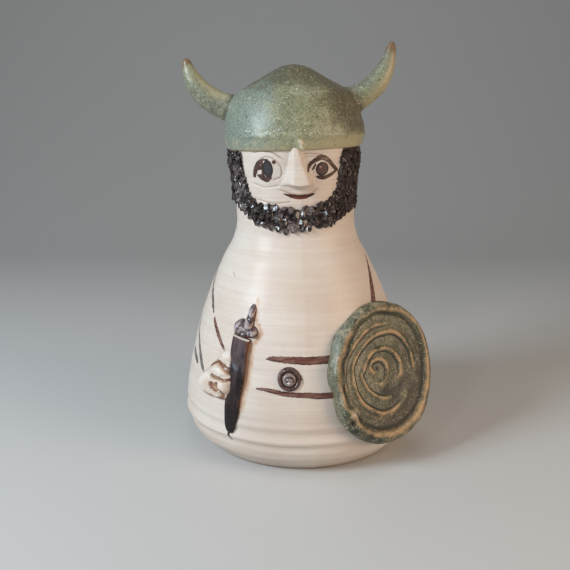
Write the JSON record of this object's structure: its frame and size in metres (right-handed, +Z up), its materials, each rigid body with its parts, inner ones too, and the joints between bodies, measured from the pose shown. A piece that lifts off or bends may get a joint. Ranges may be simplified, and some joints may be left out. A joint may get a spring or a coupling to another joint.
{
  "type": "viking warrior figurine",
  "caption": "Hand-thrown stoneware viking figurine: bell-shaped body, horned green helmet, curly beard, short sword in hand and a spiral-ridged round shield.",
  "frame": {"origin": "on the floor, in the middle of the flat underside of the foot", "axes": "+Z up through the helmet's crown, -Y the way the figure looks, +X to the viewer's right, where the shield is"},
  "size_m": [0.1321, 0.1263, 0.2111],
  "materials": {
    "white_slip": "satin white slip with thin clear glaze over throwing lines",
    "green_glaze": "semi-gloss speckled green glaze that breaks to tan on edges and ridges",
    "dark_brown_glaze": "glossy, slightly metallic dark brown glaze"
  },
  "bodies": {
    "root": {"viking_figurine": "white_slip"}
  },
  "joints": []
}
